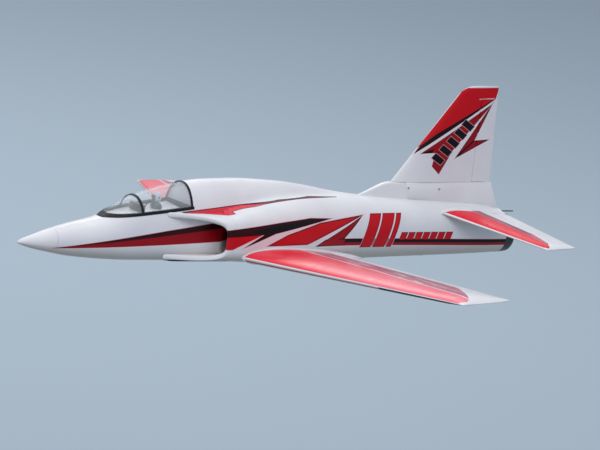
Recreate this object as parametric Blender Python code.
"""A 70 mm ducted-fan sport jet model, 1 m span, as an assembly of its separate pieces.

Sizes are millimetres in the aircraft's own drawing frame: x is the station aft of the nose tip,
y is to the right wing, and z is the height above the ground line under the belly skid.
place() turns them into Blender metres, with the origin on the ground line at ORIGIN_STATION.
"""

import math

import bmesh
import bpy
import numpy as np
from mathutils import Matrix, Vector

MM = 0.001
ORIGIN_STATION = 500.0
GAP = 0.35
HULL_POINTS = 32
HULL_STEP = 36.0
FOIL_POINTS = 9

# Front pod, canopy and spine: station, half width, bottom, widest height, top, lower and upper fullness
POD = (
    (0, 1.5, 28.5, 30, 31.5, 2.0, 2.0),
    (8, 5.6, 25.4, 30.3, 35.6, 2.0, 2.0),
    (31, 12.6, 19.2, 31.5, 43, 2.1, 2.0),
    (61, 20.5, 13.6, 34, 52.5, 2.2, 2.0),
    (105, 29.6, 6.8, 37, 63.5, 2.3, 2.0),
    (166, 38.3, 2.6, 42, 77, 2.5, 2.1),
    (195, 41, 1.8, 44, 94, 2.8, 2.2),
    (224, 43, 1.5, 46, 110.5, 3.0, 2.2),
    (283, 46, 1.5, 48, 128.5, 3.0, 2.2),
    (330, 47, 1.5, 50, 137, 3.0, 2.2),
    (372, 47, 1.5, 50, 141, 3.0, 2.2),
    (430, 44, 1.5, 52, 142.5, 3.0, 2.2),
    (525, 35, 6, 60, 138, 2.6, 2.1),
    (579, 28, 16, 66, 131.5, 2.4, 2.0),
    (633, 19, 30, 74, 121.5, 2.2, 2.0),
    (690, 6, 60, 84, 110, 2.0, 2.0),
)
# Wide body that carries the intakes, wing saddle and tail
BODY = (
    (262, 87, 10, 48, 86, 5.0, 5.0),
    (372, 87, 10, 48, 88, 5.0, 5.0),
    (430, 85, 5, 48, 103, 4.0, 3.8),
    (500, 79, 2, 50, 114, 3.2, 3.0),
    (570, 70, 1.6, 52, 118, 2.8, 2.7),
    (640, 60, 2, 53, 117, 2.5, 2.5),
    (700, 53.5, 3.5, 53, 113.5, 2.4, 2.4),
    (800, 48, 6.5, 53, 107.5, 2.3, 2.3),
    (900, 44.5, 9.5, 51, 102.5, 2.2, 2.2),
    (965, 41, 12, 49.5, 98, 2.2, 2.2),
    (1006, 36.5, 13.6, 48, 90, 2.1, 2.1),
)
# Air passage from the two intakes through the fan to the nozzle
DUCT = (
    (262, 82, 16, 48, 80, 5.0, 5.0),
    (372, 82, 16, 48, 81, 5.0, 5.0),
    (430, 78, 24, 54, 88, 4.0, 4.0),
    (500, 70, 31, 58, 92, 3.2, 3.2),
    (580, 58, 31, 58, 92, 2.6, 2.6),
    (660, 46, 23, 55, 90, 2.3, 2.3),
    (742, 38, 14, 52, 90, 2.0, 2.0),
    (812, 38, 14, 52, 90, 2.0, 2.0),
    (822, 36, 16, 52, 88, 2.0, 2.0),
    (1006, 29.5, 18, 47.5, 77, 2.0, 2.0),
    (1040, 29.5, 18, 47.5, 77, 2.0, 2.0),
)
NOSE_JOINT, BAY_END, POD_END = 70.0, 362.0, 392.0
TAIL_END, NOZZLE_END = 1006.0, 1027.0
WALL, BULKHEAD = 7.0, 10.0

# Canopy sill line, along which the hatch lifts off
SILL_FRONT, SILL_REAR = (164.0, 75.5), (330.0, 96.0)
SILL_SLOPE = (SILL_REAR[1] - SILL_FRONT[1]) / (SILL_REAR[0] - SILL_FRONT[0])
FRAME_HEIGHT, FRAME_WIDTH, ARCH_WIDTH = 5.0, 9.5, 4.0
WINDSCREEN_ARCH, REAR_ARCH = 230.0, 327.5
GLASS = 1.0

# Intake mouth: swept back from the pod side to the outer wall
MOUTH_START, MOUTH_SWEEP = (286.0, 46.0), 2.43

# Flying surfaces: root and tip leading and trailing edges as (x, y or z) in plan
WING_ROOT_Y, WING_TIP_Y = 86.0, 500.0
WING_LE, WING_TE = (418.0, 588.0), (652.0, 722.4)
WING_TE_CORNER_Y = 460.0
WING_HEIGHT, WING_RISE = 19.5, 0.0255
WING_THICKNESS, WING_CAMBER = (0.115, 0.10), 0.012
SADDLE_END = 668.0
AILERON_Y, AILERON_CHORD = (190.0, 448.0), (44.0, 33.0)

STAB_ROOT_Y, STAB_TIP_Y = 39.0, 212.0
STAB_LE, STAB_TE = (864.0, 967.0), (993.0, 1035.2)
STAB_TE_CORNER_Y = 203.0
STAB_HEIGHT, STAB_FALL = 88.4, 0.153
STAB_THICKNESS = (0.095, 0.09)
ELEVATOR_Y, ELEVATOR_CHORD = (46.0, 184.0), (32.0, 25.0)

FIN_BASE, FIN_TOP = 137.4, 307.0
FIN_LE, FIN_LE_SLOPE = 769.0, 0.788
FIN_CORNER = 293.0
FIN_TE, FIN_TE_TOP = 981.0, 974.5
FIN_THICKNESS = 0.07
BLOCK_START, BLOCK_TE = 797.0, 1000.0
RUDDER_HINGE = 940.0
RUDDER_Z, RUDDER_CHORD = (138.0, 283.6), (41.0, 35.4)

HINGE_GAP = 0.8
BEVEL_ANGLE = math.radians(28)

FAN_AXIS_Z, FAN_FRONT, FAN_LENGTH = 52.0, 748.0, 62.0
FAN_OUTER, FAN_INNER, BLADE_TIP = 37.5, 35.4, 34.7
FAN_BLADES, STATOR_VANES = 12, 5
HUB_OUTER, MOTOR_RADIUS, SHAFT_RADIUS = 16.6, 14.0, 1.6

SPAR_RADIUS, SPAR_STATION, SPAR_Z, SPAR_REACH = 4.0, 532.0, 22.4, 225.0
STAB_SPAR_RADIUS, STAB_SPAR_STATION, STAB_SPAR_Z, STAB_SPAR_REACH = 2.0, 940.0, 88.0, 50.0

AILERON_SERVO_Y, ELEVATOR_SERVO_Y, RUDDER_SERVO_Z = 300.0, 100.0, 162.0
HATCH_STATIONS, HATCH_HALF = (705.0, 850.0), 26.0
ANTENNA, ANTENNA_Z = (988.0, 1040.0), 85.0
NOZZLE_Z = 47.5
PILOT_X, HELMET_RADIUS = 279.0, 9.3


# ---------------------------------------------------------------- materials


class Finish:
    """Principled materials by name, made once."""

    made = {}

    @classmethod
    def get(cls, name, colour, roughness, metallic=0.0, alpha=1.0):
        if name not in cls.made:
            material = bpy.data.materials.new(name)
            material.use_nodes = True
            shader = material.node_tree.nodes["Principled BSDF"]
            shader.inputs["Base Color"].default_value = (*colour, 1.0)
            shader.inputs["Roughness"].default_value = roughness
            shader.inputs["Metallic"].default_value = metallic
            shader.inputs["Alpha"].default_value = alpha
            cls.made[name] = material
        return cls.made[name]


def foam():
    return Finish.get("white_foam", (0.86, 0.86, 0.87), 0.35)


def black_plastic():
    return Finish.get("black_plastic", (0.03, 0.03, 0.035), 0.4)


def white_plastic():
    return Finish.get("white_plastic", (0.8, 0.8, 0.8), 0.35)


def carbon():
    return Finish.get("carbon", (0.04, 0.04, 0.045), 0.3)


def steel():
    return Finish.get("steel", (0.6, 0.6, 0.62), 0.3, 1.0)


def clear():
    return Finish.get("clear_canopy", (0.8, 0.87, 0.9), 0.05, 0.0, 0.3)


def plywood():
    return Finish.get("plywood", (0.62, 0.44, 0.26), 0.7)


# ---------------------------------------------------------------- geometry helpers


def place(x, y, z):
    """Drawing millimetres to Blender metres."""
    return Vector(((x - ORIGIN_STATION) * MM, y * MM, z * MM))


def curve_through(knots, x):
    """Smooth value at x through (x, value) knots, with no overshoot between them."""
    xs = np.array([k[0] for k in knots], float)
    ys = np.array([k[1] for k in knots], float)
    steps = np.diff(xs)
    slopes = np.diff(ys) / steps
    tangents = np.zeros(len(xs))
    tangents[0], tangents[-1] = slopes[0], slopes[-1]
    for i in range(1, len(xs) - 1):
        if slopes[i - 1] * slopes[i] > 0:
            tangents[i] = 2 / (1 / slopes[i - 1] + 1 / slopes[i])
    i = int(np.clip(np.searchsorted(xs, x) - 1, 0, len(steps) - 1))
    t = (min(max(x, xs[0]), xs[-1]) - xs[i]) / steps[i]
    rise = (2 * t**3 - 3 * t**2 + 1) * ys[i] + (3 * t**2 - 2 * t**3) * ys[i + 1]
    bend = (t**3 - 2 * t**2 + t) * tangents[i] + (t**3 - t**2) * tangents[i + 1]
    return float(rise + bend * steps[i])


def hull_size(table, x):
    """Half width, bottom, widest height, top and fullness of a hull table at station x."""
    return [curve_through([(row[0], row[k]) for row in table], x) for k in range(1, 7)]


def hull_ring(table, x, inset=0.0, count=HULL_POINTS):
    """Section of a hull at station x, its skin moved inwards by inset."""
    half, bottom, middle, top, low_full, up_full = hull_size(table, x)
    ring = []
    for i in range(count):
        angle = 2 * math.pi * i / count
        c, s = math.cos(angle), math.sin(angle)
        full = up_full if s >= 0 else low_full
        height = (top - middle if s >= 0 else middle - bottom) - inset
        y = (half - inset) * math.copysign(abs(c) ** (2 / full), c)
        z = middle + height * math.copysign(abs(s) ** (2 / full), s)
        ring.append(place(x, y, z))
    return ring


def new_object(name, mesh, material):
    obj = bpy.data.objects.new(name, mesh)
    bpy.context.scene.collection.objects.link(obj)
    if material:
        mesh.materials.append(material)
    return obj


def loft(name, rings, material=None, closed_ends=True):
    """Closed solid through rings of equal length."""
    bm = bmesh.new()
    levels = [[bm.verts.new(p) for p in ring] for ring in rings]
    count = len(rings[0])
    for low, high in zip(levels, levels[1:]):
        for i in range(count):
            j = (i + 1) % count
            bm.faces.new((low[i], low[j], high[j], high[i]))
    if closed_ends:
        bm.faces.new(levels[0][::-1])
        bm.faces.new(levels[-1])
    bmesh.ops.recalc_face_normals(bm, faces=bm.faces)
    mesh = bpy.data.meshes.new(name)
    bm.to_mesh(mesh)
    bm.free()
    return new_object(name, mesh, material)


def hull_grid(table):
    """Stations of a hull's rings, the same whatever stretch of it is built."""
    marks = [row[0] for row in table]
    stations = [marks[0]]
    for a, b in zip(marks, marks[1:]):
        parts = max(1, math.ceil((b - a) / HULL_STEP))
        stations += [a + (b - a) * k / parts for k in range(1, parts + 1)]
    return stations


def hull(name, table, x0, x1, inset=0.0, material=None):
    """Loft of a hull table between two stations, on the facets of the whole hull."""
    grid = hull_grid(table)
    rings = []
    for x in [x0, *(g for g in grid if x0 + 1 < g < x1 - 1), x1]:
        i = int(np.clip(np.searchsorted(grid, x) - 1, 0, len(grid) - 2))
        share = min(max((x - grid[i]) / (grid[i + 1] - grid[i]), 0), 1)
        pairs = zip(hull_ring(table, grid[i], inset), hull_ring(table, grid[i + 1], inset))
        ring = [a.lerp(b, share) for a, b in pairs]
        for point in ring:
            point.x = place(x, 0, 0).x
        rings.append(ring)
    return loft(name, rings, material)


def box(name, low, high, material=None):
    """Box between two drawing corners."""
    (x0, y0, z0), (x1, y1, z1) = low, high
    ring = lambda z: [place(x0, y0, z), place(x1, y0, z), place(x1, y1, z), place(x0, y1, z)]
    return loft(name, [ring(z0), ring(z1)], material)


def prism(name, outline, low, high, material=None):
    """Plan outline of (x, y) points, extruded from height low to high."""
    return loft(name, [[place(x, y, z) for x, y in outline] for z in (low, high)], material)


def turned(name, profile, centre=(0, 0, 0), axis="X", material=None, count=32, stretch=1.0):
    """Solid turned about a line through centre along X or Z, from (distance along it, radius) points."""
    cx, cy, cz = centre
    rings = []
    for along, radius in profile:
        ring = []
        for i in range(count):
            angle = 2 * math.pi * i / count
            a, b = radius * math.cos(angle), radius * math.sin(angle)
            ring.append(
                place(cx + along, cy + a * stretch, cz + b) if axis == "X"
                else place(cx + a, cy + b * stretch, cz + along)
            )
        rings.append(ring)
    return loft(name, rings, material)


def rod(name, start, end, radius, material=None, count=12):
    """Round bar between two drawing points."""
    a, b = place(*start), place(*end)
    turn = (b - a).to_track_quat("Z", "Y").to_matrix()
    circle = [
        Vector((math.cos(2 * math.pi * i / count), math.sin(2 * math.pi * i / count), 0)) * radius * MM
        for i in range(count)
    ]
    return loft(name, [[p + turn @ c for c in circle] for p in (a, b)], material)


def bake(obj):
    """Applies an object's modifiers to its mesh."""
    graph = bpy.context.evaluated_depsgraph_get()
    mesh = bpy.data.meshes.new_from_object(obj.evaluated_get(graph))
    obj.modifiers.clear()
    obj.data = mesh
    return obj


def boolean(obj, tools, operation):
    """Joins, cuts or intersects obj with each tool, and removes the tools."""
    for tool in tools:
        modifier = obj.modifiers.new("boolean", "BOOLEAN")
        modifier.operation = operation
        modifier.object = tool
        modifier.solver = "EXACT"
        bake(obj)
        bpy.data.objects.remove(tool)
    return obj


def cut(obj, *tools):
    return boolean(obj, tools, "DIFFERENCE")


def unite(obj, *tools):
    return boolean(obj, tools, "UNION")


def common(obj, *tools):
    return boolean(obj, tools, "INTERSECT")


def copy_of(obj, name):
    other = obj.copy()
    other.data = obj.data.copy()
    other.name = name
    bpy.context.scene.collection.objects.link(other)
    return other


def smooth(obj, angle=30):
    """Shades an object smooth, with edges sharper than angle left crisp."""
    obj.data.shade_smooth()
    obj.data.set_sharp_from_angle(angle=math.radians(angle))
    return obj


def side_name(side):
    return "left" if side < 0 else "right"


# ---------------------------------------------------------------- wing sections


def foil_half(share, thickness):
    """Half thickness of the section at a share of the chord, as a share of the chord."""
    poly = 0.2969 * math.sqrt(share) - 0.126 * share - 0.3516 * share**2
    return 5 * thickness * (poly + 0.2843 * share**3 - 0.1015 * share**4)


def foil_camber(share, camber):
    return 4 * camber * share * (1 - share)


def between(pair, share):
    return pair[0] + (pair[1] - pair[0]) * share


class Surface:
    """A tapered flying surface, given by its plan lines, and its position at a span distance."""

    edge = 0.55

    def __init__(self, root, tip, le, te, thickness, camber=0.0):
        self.root, self.tip, self.le, self.te = root, tip, le, te
        self.thickness, self.camber = thickness, camber

    def share(self, span):
        return (span - self.root) / (self.tip - self.root)

    def chord_line(self, span):
        """Leading and trailing edge stations at a span distance."""
        return between(self.le, self.share(span)), between(self.te, self.share(span))

    def heights(self, span, x):
        """Lower and upper skin offsets from the chord plane at station x."""
        front, back = self.chord_line(span)
        share = min(max((x - front) / (back - front), 0), 1)
        chord = back - front
        half = foil_half(share, between(self.thickness, self.share(span))) * chord + self.edge * share
        middle = foil_camber(share, self.camber) * chord
        return middle - half, middle + half

    def ring(self, span, end=None, front=None):
        """Section outline as (x, offset) pairs; end or front trims the plan line at a tip."""
        lead, trail = self.chord_line(span)
        lead, trail = front or lead, end or trail
        chord = trail - lead
        thickness = between(self.thickness, self.share(span))
        points = []
        for i in range(FOIL_POINTS + 1):
            share = (1 + math.cos(math.pi * i / FOIL_POINTS)) / 2
            half = foil_half(share, thickness) * chord + self.edge * share
            points.append((lead + share * chord, foil_camber(share, self.camber) * chord + half))
        for i in range(FOIL_POINTS - 1, -1, -1):
            share = (1 + math.cos(math.pi * i / FOIL_POINTS)) / 2
            half = foil_half(share, thickness) * chord + self.edge * share
            points.append((lead + share * chord, foil_camber(share, self.camber) * chord - half))
        return points

    def flap_ring(self, span, hinge):
        """Outline of the hinged part: a V whose point is on the hinge line, then the skins aft of it."""
        front, back = self.chord_line(span)
        low, high = self.heights(span, hinge)
        middle = (low + high) / 2
        shoulder = hinge + (high - middle) * math.tan(BEVEL_ANGLE)
        upper, lower = [], []
        for i in range(4):
            x = shoulder + (back - shoulder) * i / 3
            down, up = self.heights(span, x)
            upper.append((x, up))
            lower.append((x, down))
        return [(hinge, middle), *upper, *lower[::-1]]


WING = Surface(WING_ROOT_Y, WING_TIP_Y, WING_LE, WING_TE, WING_THICKNESS, WING_CAMBER)
STAB = Surface(STAB_ROOT_Y, STAB_TIP_Y, STAB_LE, STAB_TE, STAB_THICKNESS)
FIN = Surface(FIN_BASE, FIN_TOP, (FIN_LE, FIN_LE + FIN_LE_SLOPE * (FIN_TOP - FIN_BASE)),
              (FIN_TE, FIN_TE_TOP), (FIN_THICKNESS, FIN_THICKNESS))


def wing_height(y):
    return WING_HEIGHT + WING_RISE * (abs(y) - WING_ROOT_Y)


def stab_height(y):
    return STAB_HEIGHT - STAB_FALL * (abs(y) - STAB_ROOT_Y)


def on_wing(x, y, offset):
    return place(x, y, wing_height(y) + offset)


def on_stab(x, y, offset):
    return place(x, y + math.copysign(STAB_FALL, y) * offset, stab_height(y) + offset)


def on_fin(x, z, offset):
    return place(x, offset, z)


def tip_sections(surface, corner, shares=(0.0, 0.35, 0.65, 0.85, 0.96)):
    """Spans and trimmed trailing edges where the tip edge rakes forward to the leading edge."""
    sections = []
    back = surface.chord_line(corner)[1]
    front = surface.chord_line(surface.tip)[0]
    for share in shares:
        span = corner + (surface.tip - corner) * share
        sections.append((span, back + (front - back) * share**1.35))
    return sections


def panel(name, surface, to_world, side, inner, corner, material):
    """Solid wing or stab panel from its root rib to its raked tip."""
    rings = [[to_world(x, side * inner, o) for x, o in surface.ring(inner)]]
    middle = (inner + corner) / 2
    rings.append([to_world(x, side * middle, o) for x, o in surface.ring(middle)])
    for span, end in tip_sections(surface, corner):
        rings.append([to_world(x, side * span, o) for x, o in surface.ring(span, end=end)])
    return loft(name, rings, material)


def hinge_station(surface, span, limits, chords):
    """Station of the hinge line at a span distance."""
    ends = [surface.chord_line(s)[1] - c for s, c in zip(limits, chords)]
    return between(ends, (span - limits[0]) / (limits[1] - limits[0]))


def hinged_part(name, surface, to_world, side, limits, chords, material):
    rings = []
    for span in (limits[0], sum(limits) / 2, limits[1]):
        hinge = hinge_station(surface, span, limits, chords)
        rings.append([to_world(x, side * span, o) for x, o in surface.flap_ring(span, hinge)])
    return smooth(loft(name, rings, material))


def hinge_bay(surface, to_world, side, limits, chords):
    """Cutter that clears the space of a hinged part out of its panel."""
    bottom, top = [], []
    margin = HINGE_GAP
    low, high = limits[0] - margin, limits[1] + margin
    slope = (chords[1] - chords[0]) / (limits[1] - limits[0])
    for span, aft in ((low, False), (high, False), (high, True), (low, True)):
        x = hinge_station(surface, span, limits, chords) - margin
        x = x + 90 if aft else x
        bottom.append(to_world(x, side * span, -40))
        top.append(to_world(x, side * span, 40))
    return loft("bay", [bottom, top])


# ---------------------------------------------------------------- control linkage


class Linkage:
    """A servo, its arm, a wire pushrod and a control horn, which move as a parallelogram.

    The local frame has its origin on the hinge line, x aft, y along the hinge line and z out of
    the surface's plain side, so arm and horn point to -z. The wire is on the hand side of the arm
    and the servo on the other.
    """

    arm_half = 0.8
    wire = 0.7
    eye = 2.0
    hub = 2.6

    def __init__(self, name, suffix, origin, along, up, hand, reach, drop, case):
        self.name, self.suffix, self.hand = name, suffix, hand
        self.reach, self.drop, self.case = reach, drop, case
        y_axis = Vector(along).normalized()
        x_axis = y_axis.cross(Vector(up)).normalized()
        z_axis = x_axis.cross(y_axis)
        turn = Matrix((x_axis, y_axis, z_axis)).transposed().to_4x4()
        self.matrix = Matrix.Translation(place(*origin)) @ turn
        self.root = bpy.data.objects.new(self.node_name("hinge_line"), None)
        bpy.context.scene.collection.objects.link(self.root)
        self.root.matrix_world = self.matrix

    def node_name(self, piece):
        return f"{self.name}_{piece}{self.suffix}"

    def solid(self, name, rings, material=None):
        return loft(name, [[Vector(p) * MM for p in ring] for ring in rings], material)

    def block(self, name, low, high, material=None):
        """Box in the local frame, between two corners in any order of y."""
        (x0, y0, z0), (x1, y1, z1) = low, high
        y0, y1 = sorted((y0, y1))
        corners = lambda z: [(x0, y0, z), (x1, y0, z), (x1, y1, z), (x0, y1, z)]
        return self.solid(name, [corners(z0), corners(z1)], material)

    def disc(self, name, x, z, radius, y0, y1, material=None, count=16):
        """Short cylinder along the hinge line."""
        angles = [2 * math.pi * i / count for i in range(count)]
        edge = lambda y: [(x + radius * math.cos(a), y, z + radius * math.sin(a)) for a in angles]
        return self.solid(name, [edge(y) for y in sorted((y0, y1))], material)

    def hold(self, obj, pivot=(0, 0, 0)):
        """Hangs a piece on the hinge line's frame, with its origin on its own pivot."""
        shift = Vector(pivot) * MM
        obj.data.transform(Matrix.Translation(-shift))
        obj.parent = self.root
        obj.location = shift
        return smooth(obj)

    def plate(self, name, sides, material=None):
        """Flat plate across the hinge line from its side outline in x and z."""
        t = self.arm_half
        return self.solid(name, [[(x, y, z) for x, z in sides] for y in (-t, t)], material)

    def build_horn(self, foot):
        """Control horn, whose foot (x0, x1, level) is glued to the hinged part."""
        x0, x1, level = foot
        t, h, eye = self.arm_half, self.drop, self.eye
        sides = [(-eye, -h), (eye, -h), (x1, level), (x0, level)]
        horn = self.plate(self.node_name("horn"), sides, black_plastic())
        unite(horn, self.disc("eye", 0, -h, eye, -t, t))
        cut(horn, self.disc("hole", 0, -h, 1.0, -t - 1, t + 1, count=12))
        return self.hold(horn)

    def build_arm(self):
        """Servo arm, on the servo's output shaft."""
        x, t, h, eye = -self.reach, self.arm_half, self.drop, self.eye
        sides = [(x - 2.2, 0), (x - eye, -h), (x + eye, -h), (x + 2.2, 0)]
        arm = self.plate(self.node_name("servo_arm"), sides, white_plastic())
        unite(arm, self.disc("eye", x, -h, eye, -t, t), self.disc("hub", x, 0, self.hub, -t, t, count=20))
        cut(arm, self.disc("hole", x, -h, 1.0, -t - 1, t + 1, count=12))
        return self.hold(arm, (x, 0, 0))

    def build_rod(self):
        """Wire pushrod, with both ends bent through the holes of the arm and the horn."""
        r, s = self.wire, self.hand
        y = s * (self.arm_half + GAP + r)
        back = -s * (self.arm_half + GAP)
        angles = [2 * math.pi * i / 10 for i in range(10)]
        edge = lambda x: [(x, y + r * math.cos(a), -self.drop + r * math.sin(a)) for a in angles]
        wire = self.solid(self.node_name("pushrod"), [edge(-self.reach - r), edge(r)], steel())
        for x in (-self.reach, 0):
            unite(wire, self.disc("pin", x, -self.drop, r * 0.85, back, y, count=10))
        return self.hold(wire, (-self.reach, 0, -self.drop))

    def servo_span(self):
        """Ends of the servo case along x, and its face next to the arm."""
        length = self.case[0]
        return -self.reach - length * 0.72, -self.reach + length * 0.28, -self.hand * (self.arm_half + 1.5)

    def build_servo(self):
        """Servo case with its fixing ears and the boss of its output shaft."""
        _, width, thick = self.case
        s, half = -self.hand, thick / 2
        x0, x1, face = self.servo_span()
        servo = self.block(self.node_name("servo"), (x0, face, -half), (x1, face + s * width, half),
                           Finish.get("servo_blue", (0.02, 0.05, 0.18), 0.3))
        ear = face + s * width * 0.28
        unite(servo, self.block("ears", (x0 - 4, ear, 0.6 - half), (x1 + 4, ear + s * 1.4, half - 0.6)))
        boss = s * (self.arm_half + GAP)
        unite(servo, self.disc("boss", -self.reach, 0, 2.0, boss, face + s * 0.5))
        return self.hold(servo)

    def pocket(self, depth=40):
        """Cutter for the servo and its arm, open on the side that the arm points to."""
        _, width, thick = self.case
        x0, x1, face = self.servo_span()
        s = -self.hand
        low, high = (x0 - 5, face - s * 0.6, -depth), (x1 + 5, face + s * (width + 0.6), thick / 2 + 0.6)
        pocket = self.block("servo_pocket", low, high)
        hub = -self.reach
        slot_end = (hub + 8, -s * (self.arm_half + 2.6), self.hub + 0.8)
        unite(pocket, self.block("arm_slot", (hub - 8, face, -depth), slot_end))
        pocket.data.transform(self.matrix)
        return pocket

    def adopt(self, obj):
        """Gives a hinged part its origin on the hinge line."""
        obj.data.transform(self.matrix.inverted())
        obj.matrix_world = self.matrix
        return obj


# ---------------------------------------------------------------- fuselage


def sill_height(x, above=0.0):
    return SILL_FRONT[1] + (x - SILL_FRONT[0]) * SILL_SLOPE + above


def sill_slab(name, x0, x1, low, high):
    """Slab parallel to the sill line, between two heights over it, as a cutter."""
    corners = lambda x: [
        place(x, -150, sill_height(x, low)), place(x, 150, sill_height(x, low)),
        place(x, 150, sill_height(x, high)), place(x, -150, sill_height(x, high)),
    ]
    return loft(name, [corners(x0), corners(x1)])


def canopy_outline(inset, height):
    """Plan outline of the hull at the sill, moved inwards."""
    front, rear = SILL_FRONT[0] + 4 + inset, REAR_ARCH + 2 - inset
    right = []
    for k in range(9):
        x = front + (rear - front) * (k / 8) ** 1.3
        half, _, middle, top, _, full = hull_size(POD, x)
        rise = min((sill_height(x, height) - middle) / (top - middle), 0.999)
        right.append((x, max(half * (1 - rise**full) ** (1 / full) - inset, 1.5)))
    return right + [(x, -y) for x, y in reversed(right)]


def build_front():
    """Nose cone and the front fuselage with its battery bay."""
    smooth(hull("nose_cone", POD, 0, NOSE_JOINT - GAP, material=foam()))
    front = hull("fuselage_front", POD, NOSE_JOINT, POD_END, material=foam())
    bay = hull("bay", POD, NOSE_JOINT + BULKHEAD, BAY_END, inset=WALL)
    # The bay's roof stays under the sill; the canopy opening goes through it.
    cut(bay, sill_slab("roof", 60, 400, -8, 200))
    cut(front, bay)
    cut(front, sill_slab("above_sill", 100, REAR_ARCH + ARCH_WIDTH / 2 + GAP, 0, 200))
    cut(front, prism("hatch_opening", canopy_outline(7.0, 0), 50, 220))
    smooth(front)
    return front


def build_hatch():
    """Lift-off canopy: tray, frame with two arches, clear bubble, panel and pilot."""
    tray = prism("canopy_tray", canopy_outline(7.6, 0), 40, 220, white_plastic())
    common(tray, sill_slab("band", 100, 400, -5, 0))
    smooth(tray)

    frame = hull("canopy_frame", POD, SILL_FRONT[0], REAR_ARCH + 2, inset=-0.4, material=black_plastic())
    common(frame, sill_slab("band", 100, 400, GAP, FRAME_HEIGHT))
    cut(frame, prism("inside", canopy_outline(FRAME_WIDTH, FRAME_HEIGHT), 40, 220))
    for station in (WINDSCREEN_ARCH, REAR_ARCH):
        arch = hull("arch", POD, station - ARCH_WIDTH / 2, station + ARCH_WIDTH / 2, inset=-0.9)
        cut(arch, hull("arch_inside", POD, station - 9, station + 9, inset=0.15))
        common(arch, sill_slab("over", 100, 400, FRAME_HEIGHT - 2, 220))
        unite(frame, arch)
    smooth(frame)

    glass = hull("canopy_glass", POD, SILL_FRONT[0] + 4.5, REAR_ARCH + 1.4, inset=0.5, material=clear())
    cut(glass, hull("glass_inside", POD, SILL_FRONT[0] + 8, REAR_ARCH + 9, inset=0.5 + GLASS))
    common(glass, sill_slab("over", 100, 400, FRAME_HEIGHT + GAP, 220))
    smooth(glass)

    panel = box("instrument_panel", (237, -19, sill_height(245, GAP)), (245, 19, sill_height(245, 13)),
                black_plastic())
    cut(panel, box("step", (232, -30, 102), (240, 30, 126)))

    floor = sill_height(PILOT_X + 10, GAP)
    suit = Finish.get("pilot_suit", (0.12, 0.2, 0.3), 0.6)
    smooth(turned("pilot_torso", ((0, 8), (3, 8.4), (6.4, 6.6), (8.2, 3.4)), (PILOT_X + 1, 0, floor), "Z",
                  suit, 20, 1.7), 50)
    radius = HELMET_RADIUS
    arc = [math.pi * k / 8 for k in range(9)]
    profile = [(radius * (1 - math.cos(a)), max(radius * math.sin(a), 0.6)) for a in arc]
    smooth(turned("pilot_helmet", profile, (PILOT_X, 0, floor + 8.2 + GAP), "Z",
                  Finish.get("helmet_grey", (0.5, 0.6, 0.68), 0.25), 20), 50)


def build_intake(side):
    """Cheek intake: a C of foam round the duct, open to the front and to the pod's side."""
    intake = hull("intake_" + side_name(side), BODY, 262, POD_END - GAP, material=foam())
    cut(intake, hull("duct", DUCT, 250, POD_END + 8), hull("pod", POD, 240, POD_END + 8, inset=-GAP))
    common(intake, box("half", (100, side * 20, -20), (400, side * 120, 120)))
    x0, y0 = MOUTH_START
    mouth = lambda y: x0 + (y - y0) * MOUTH_SWEEP
    ahead = [(120, 10), (mouth(10), 10), (mouth(120), 120), (120, 120)]
    cut(intake, prism("ahead", [(x, side * y) for x, y in ahead], -20, 140))
    return smooth(intake)


def build_splitter():
    """Wedge behind the front fuselage that leads the two air streams together."""
    splitter = hull("duct_splitter", DUCT, POD_END + GAP, 505, inset=GAP, material=foam())
    half = [(POD_END - 5, 47), (400, 41), (440, 26), (480, 9), (505, 1.2)]
    common(splitter, prism("wedge", half + [(x, -y) for x, y in reversed(half)], 0, 140))
    common(splitter, hull("pod", POD, POD_END - 5, 520))
    return smooth(splitter)


def root_fairing(surface, to_world, side, inner, outer, extra):
    """Fixed stub in line with a flying surface, longer than it at the back by extra."""
    lead, trail = surface.chord_line(outer)
    rings = []
    for span in (inner, outer):
        rings.append([to_world(x, side * span, o) for x, o in surface.ring(outer, trail + extra, lead - 3)])
    return loft("fairing", rings)


def build_rear():
    """Rear fuselage with its duct, saddles, stab roots, dorsal fin, spar holes and fan hatch."""
    rear = hull("fuselage_rear", POD, POD_END, 690, material=foam())
    unite(rear, hull("body", BODY, POD_END, TAIL_END))
    for side in (-1, 1):
        saddle = root_fairing(WING, on_wing, side, 30, WING_ROOT_Y - GAP, SADDLE_END - WING_TE[0])
        stub = root_fairing(STAB, on_stab, side, 12, STAB_ROOT_Y - GAP, 3.0)
        unite(rear, saddle, stub)
    crest = FIN_BASE - GAP
    dorsal = []
    for x, half, top in ((700, 2, 112), (715, 3, 118.5), (769, 6, crest), (BLOCK_START - GAP, 7.5, crest)):
        edge = [(half, 94), (half, top - 4), (half * 0.5, top)]
        dorsal.append([place(x, y, z) for y, z in edge + [(-y, z) for y, z in reversed(edge)]])
    unite(rear, loft("dorsal", dorsal))
    cut(rear, hull("duct", DUCT, POD_END - 5, TAIL_END + 5))
    cut(rear, rod("spar_hole", (SPAR_STATION, -120, SPAR_Z), (SPAR_STATION, 120, SPAR_Z), SPAR_RADIUS + GAP))
    reach = STAB_SPAR_REACH + 10
    cut(rear, rod("tail_spar_hole", (STAB_SPAR_STATION, -reach, STAB_SPAR_Z),
                  (STAB_SPAR_STATION, reach, STAB_SPAR_Z), STAB_SPAR_RADIUS + GAP))
    cut(rear, rod("antenna_hole", (ANTENNA[0] - GAP, 0, ANTENNA_Z), (TAIL_END + 5, 0, ANTENNA_Z), 1.0 + GAP))

    (x0, x1), half = HATCH_STATIONS, HATCH_HALF
    hatch = copy_of(rear, "fan_hatch")
    common(hatch, box("inside", (x0 + GAP, -half + GAP, -20), (x1 - GAP, half - GAP, 40)))
    cut(rear, box("outside", (x0, -half, -20), (x1, half, 40)))
    smooth(hatch)
    return smooth(rear)


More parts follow.
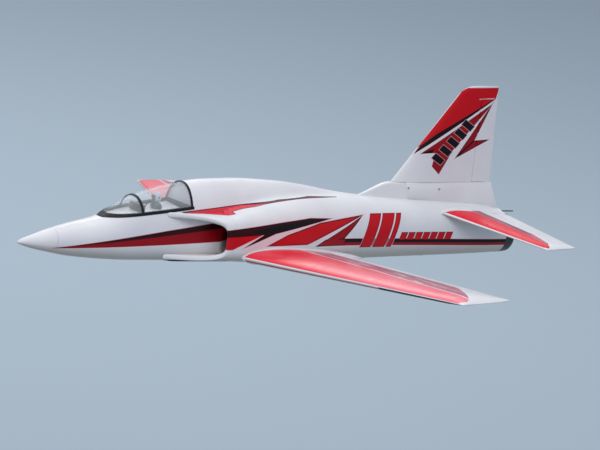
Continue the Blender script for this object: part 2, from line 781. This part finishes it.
def build_skid():
    """Wear strip under the belly, on which the model lands and stands."""
    half = [(300, 8), (312, 18), (330, 20), (590, 20), (608, 18), (620, 8)]
    return prism("belly_skid", half + [(x, -y) for x, y in reversed(half)], 0, 1.15, black_plastic())


# ---------------------------------------------------------------- radio gear and power


def build_bay_gear():
    """Battery on its tray with a strap, speed controller and receiver."""
    tray = hull("battery_tray", POD, 102, 292, inset=WALL + GAP, material=plywood())
    common(tray, box("level", (90, -60, 20), (300, 60, 22)))
    x0, x1, half = 152, 284, 21.5
    box("battery_pack", (x0, -half, 22 + GAP), (x1, half, 50),
        Finish.get("battery_wrap", (0.05, 0.09, 0.3), 0.4))
    strap = box("battery_strap", (208, -half - 1.6, 22 + GAP), (228, half + 1.6, 51.6),
                Finish.get("strap", (0.05, 0.05, 0.05), 0.9))
    cut(strap, box("pack", (200, -half - GAP, 0), (240, half + GAP, 50 + GAP)))
    box("esc", (300, -14, 10), (352, 14, 21), Finish.get("heatsink", (0.25, 0.25, 0.27), 0.4, 0.8))
    box("receiver", (108, -10, 22 + GAP), (142, 10, 34), black_plastic())


def build_fan():
    """Ducted fan: housing with stators, motor, rotor, spinner, tail cone, thrust tube and nozzle."""
    centre = (0, 0, FAN_AXIS_Z)
    front, back = FAN_FRONT, FAN_FRONT + FAN_LENGTH
    housing = turned("fan_housing", ((front, FAN_OUTER), (back, FAN_OUTER)), centre, material=black_plastic())
    cut(housing, turned("bore", ((front - 2, FAN_INNER), (back + 2, FAN_INNER)), centre))
    shell = turned("shell", ((front + 24, HUB_OUTER), (back, HUB_OUTER)), centre, count=24)
    bore = ((front + 22, MOTOR_RADIUS + GAP), (back + 2, MOTOR_RADIUS + GAP))
    cut(shell, turned("core", bore, centre, count=24))
    for i in range(STATOR_VANES):
        turn = 2 * math.pi * i / STATOR_VANES + math.pi / 2
        vane = blade("vane", HUB_OUTER - 0.8, FAN_INNER + 0.8, front + 30, front + 52, 1.5, 8, 4, turn)
        unite(shell, vane)
    unite(housing, shell)
    smooth(housing)

    motor = turned("fan_motor", ((front + 25, MOTOR_RADIUS), (back - 2, MOTOR_RADIUS)), centre,
                   material=Finish.get("motor_can", (0.2, 0.2, 0.22), 0.35, 0.9), count=24)
    unite(motor, turned("shaft", ((front + 4, SHAFT_RADIUS), (front + 26, SHAFT_RADIUS)), centre, count=16))
    smooth(motor)
    cone = ((0, HUB_OUTER - 0.4), (12, 14), (26, 9), (40, 2.5))
    smooth(turned("motor_tail_cone", [(back + GAP + x, r) for x, r in cone], centre,
                  material=black_plastic(), count=24))

    rotor = turned("fan_rotor", ((front + 2, HUB_OUTER), (front + 22, HUB_OUTER)), centre,
                   material=black_plastic(), count=24)
    for i in range(FAN_BLADES):
        turn = 2 * math.pi * i / FAN_BLADES
        unite(rotor, blade("blade", HUB_OUTER - 1.2, BLADE_TIP, front + 4, front + 20, 1.2, -32, -52, turn))
    common(rotor, turned("swept_disc", ((front, BLADE_TIP), (front + 24, BLADE_TIP)), centre, count=48))
    hole = SHAFT_RADIUS + 0.15
    cut(rotor, turned("hole", ((front, hole), (front + 24, hole)), centre, count=16))
    smooth(rotor)
    dome = ((0, HUB_OUTER), (5, 15.6), (11, 12.4), (16, 8.4), (20, 2.5))
    spinner = turned("fan_spinner", [(front + 2 - GAP - x, r) for x, r in dome], centre,
                     material=Finish.get("spinner_metal", (0.7, 0.7, 0.72), 0.25, 1.0), count=24)
    smooth(spinner)
    pivot = place(front, 0, FAN_AXIS_Z)
    shaft_line = bpy.data.objects.new("fan_shaft_line", None)
    bpy.context.scene.collection.objects.link(shaft_line)
    shaft_line.location = pivot
    for piece in (rotor, spinner):
        piece.data.transform(Matrix.Translation(-pivot))
        piece.parent = shaft_line

    tube = hull("thrust_tube", DUCT, 823, TAIL_END - GAP, inset=GAP, material=carbon())
    cut(tube, hull("inside", DUCT, 820, TAIL_END + 4, inset=GAP + 1.0))
    smooth(tube)
    exit_centre = (0, 0, NOZZLE_Z)
    ring = turned("nozzle_ring", ((TAIL_END + GAP, 34.4), (NOZZLE_END - 4, 33), (NOZZLE_END, 32)), exit_centre,
                  material=black_plastic())
    cut(ring, turned("bore", ((TAIL_END - 5, 29.5), (NOZZLE_END + 5, 29.5)), exit_centre))
    smooth(ring)
    smooth(rod("antenna_tube", (ANTENNA[0], 0, ANTENNA_Z), (ANTENNA[1], 0, ANTENNA_Z), 1.0, black_plastic()))


def blade(name, inner, outer, x0, x1, thick, pitch_root, pitch_tip, turn):
    """Plate from the hub outwards, pitched by degrees about its own radius, twisting to its tip."""
    middle, half = (x0 + x1) / 2, (x1 - x0) / 2
    rings = []
    for share in (0, 0.5, 1):
        radius = inner + (outer - inner) * share
        pitch = math.radians(pitch_root + (pitch_tip - pitch_root) * share)
        chord = half / max(math.cos(pitch), 0.5) * (1 if abs(pitch) < 0.3 else 0.8)
        ring = []
        for along, across in ((-chord, 0), (0, -thick), (chord, 0), (0, thick)):
            x = along * math.cos(pitch) - across * 0.5 * math.sin(pitch)
            sweep = along * math.sin(pitch) + across * 0.5 * math.cos(pitch)
            y = radius * math.cos(turn) - sweep * math.sin(turn)
            z = radius * math.sin(turn) + sweep * math.cos(turn)
            ring.append(place(middle + x, y, FAN_AXIS_Z + z))
        rings.append(ring)
    return loft(name, rings)


# ---------------------------------------------------------------- wing and tail


def hinge_ends(surface, axis_point, side, limits, chords):
    """Drawing points at the two ends of a hinge line."""
    ends = []
    for span in limits:
        x = hinge_station(surface, span, limits, chords)
        low, high = surface.heights(span, x)
        ends.append(axis_point(x, side * span, (low + high) / 2))
    return ends


def drawing(point):
    """Blender metres back to drawing millimetres."""
    return (point.x / MM + ORIGIN_STATION, point.y / MM, point.z / MM)


def add_controls(fixed, kind, surface, to_world, side, limits, chords, span, up, reach, drop, case):
    """Cuts a hinged part out of its panel and drives it with a servo, pushrod and horn."""
    suffix = "" if kind == "rudder" else "_" + side_name(side)
    hinged = hinged_part(kind + suffix, surface, to_world, side, limits, chords, foam())
    cut(fixed, hinge_bay(surface, to_world, side, limits, chords))
    first, last = hinge_ends(surface, to_world, side, limits, chords)
    along = (last - first) * side
    origin = drawing(first.lerp(last, (span - limits[0]) / (limits[1] - limits[0])))
    linkage = Linkage(kind, suffix, origin, along, up, side, reach, drop, case)
    cut(fixed, linkage.pocket())
    smooth(fixed)
    linkage.adopt(hinged)
    x = hinge_station(surface, span, limits, chords)
    low, high = surface.heights(span, x + 3.5)
    middle = sum(surface.heights(span, x)) / 2
    linkage.build_horn((3.5, 13, low - middle - GAP))
    linkage.build_arm()
    linkage.build_rod()
    linkage.build_servo()


def build_wing(side):
    name = side_name(side)
    wing = panel("wing_" + name, WING, on_wing, side, WING_ROOT_Y, WING_TE_CORNER_Y, foam())
    ends = (SPAR_STATION, side * 60, SPAR_Z), (SPAR_STATION, side * (SPAR_REACH + 1), SPAR_Z)
    cut(wing, rod("spar_hole", *ends, SPAR_RADIUS + GAP))
    add_controls(wing, "aileron", WING, on_wing, side, AILERON_Y, AILERON_CHORD,
                 AILERON_SERVO_Y, (0, 0, 1), 45, 11, (23, 22, 11.5))


def build_stab(side):
    name = side_name(side)
    stab = panel("stab_" + name, STAB, on_stab, side, STAB_ROOT_Y, STAB_TE_CORNER_Y, foam())
    reach = side * (STAB_SPAR_REACH + 1)
    ends = (STAB_SPAR_STATION, 0, STAB_SPAR_Z), (STAB_SPAR_STATION, reach, STAB_SPAR_Z)
    cut(stab, rod("spar_hole", *ends, STAB_SPAR_RADIUS + GAP))
    add_controls(stab, "elevator", STAB, on_stab, side, ELEVATOR_Y, ELEVATOR_CHORD,
                 ELEVATOR_SERVO_Y, (0, side * STAB_FALL, 1), 38, 9, (20, 16, 6.5))


def build_fin():
    """Fin with its rounded tip, the block under it, and the rudder."""
    rings = []
    for z in (FIN_BASE, (FIN_BASE + FIN_CORNER) / 2, FIN_CORNER):
        rings.append([on_fin(x, z, o) for x, o in FIN.ring(z)])
    start = FIN.chord_line(FIN_CORNER)[0]
    for turn in (30, 55, 75):
        angle = math.radians(turn)
        z = FIN_CORNER + (FIN_TOP - FIN_CORNER) * math.sin(angle) / math.sin(math.radians(75))
        rings.append([on_fin(x, z, o) for x, o in FIN.ring(z, front=start + 30 * (1 - math.cos(angle)) + 6)])
    fin = loft("fin", rings, foam())
    add_controls(fin, "rudder", FIN, on_fin, 1, RUDDER_Z, RUDDER_CHORD,
                 RUDDER_SERVO_Z, (0, -1, 0), 36, 8, (20, 16, 6.5))

    low, high = 80, FIN_BASE - GAP
    bottom = [(BLOCK_START + 16, 7), (BLOCK_TE + 6, 6)]
    top = [(BLOCK_START, 7.4), (FIN_TE, 5)]
    ring = lambda ends, z: [place(x, s * y, z) for s, pairs in ((1, ends), (-1, ends[::-1])) for x, y in pairs]
    block = loft("fin_block", [ring(bottom, low), ring(top, high)], foam())
    cut(block, hull("body", BODY, 760, 1040, inset=-GAP))
    smooth(block)


def build_spars():
    rod("wing_spar", (SPAR_STATION, -SPAR_REACH, SPAR_Z), (SPAR_STATION, SPAR_REACH, SPAR_Z),
        SPAR_RADIUS, carbon(), 16)
    rod("stab_spar", (STAB_SPAR_STATION, -STAB_SPAR_REACH, STAB_SPAR_Z),
        (STAB_SPAR_STATION, STAB_SPAR_REACH, STAB_SPAR_Z), STAB_SPAR_RADIUS, carbon(), 12)
    for name in ("wing_spar", "stab_spar"):
        smooth(bpy.data.objects[name])


def main():
    for obj in list(bpy.data.objects):
        bpy.data.objects.remove(obj)
    build_front()
    build_rear()
    build_splitter()
    build_skid()
    build_hatch()
    build_bay_gear()
    build_fan()
    build_fin()
    build_spars()
    for side in (-1, 1):
        build_intake(side)
        build_wing(side)
        build_stab(side)


main()
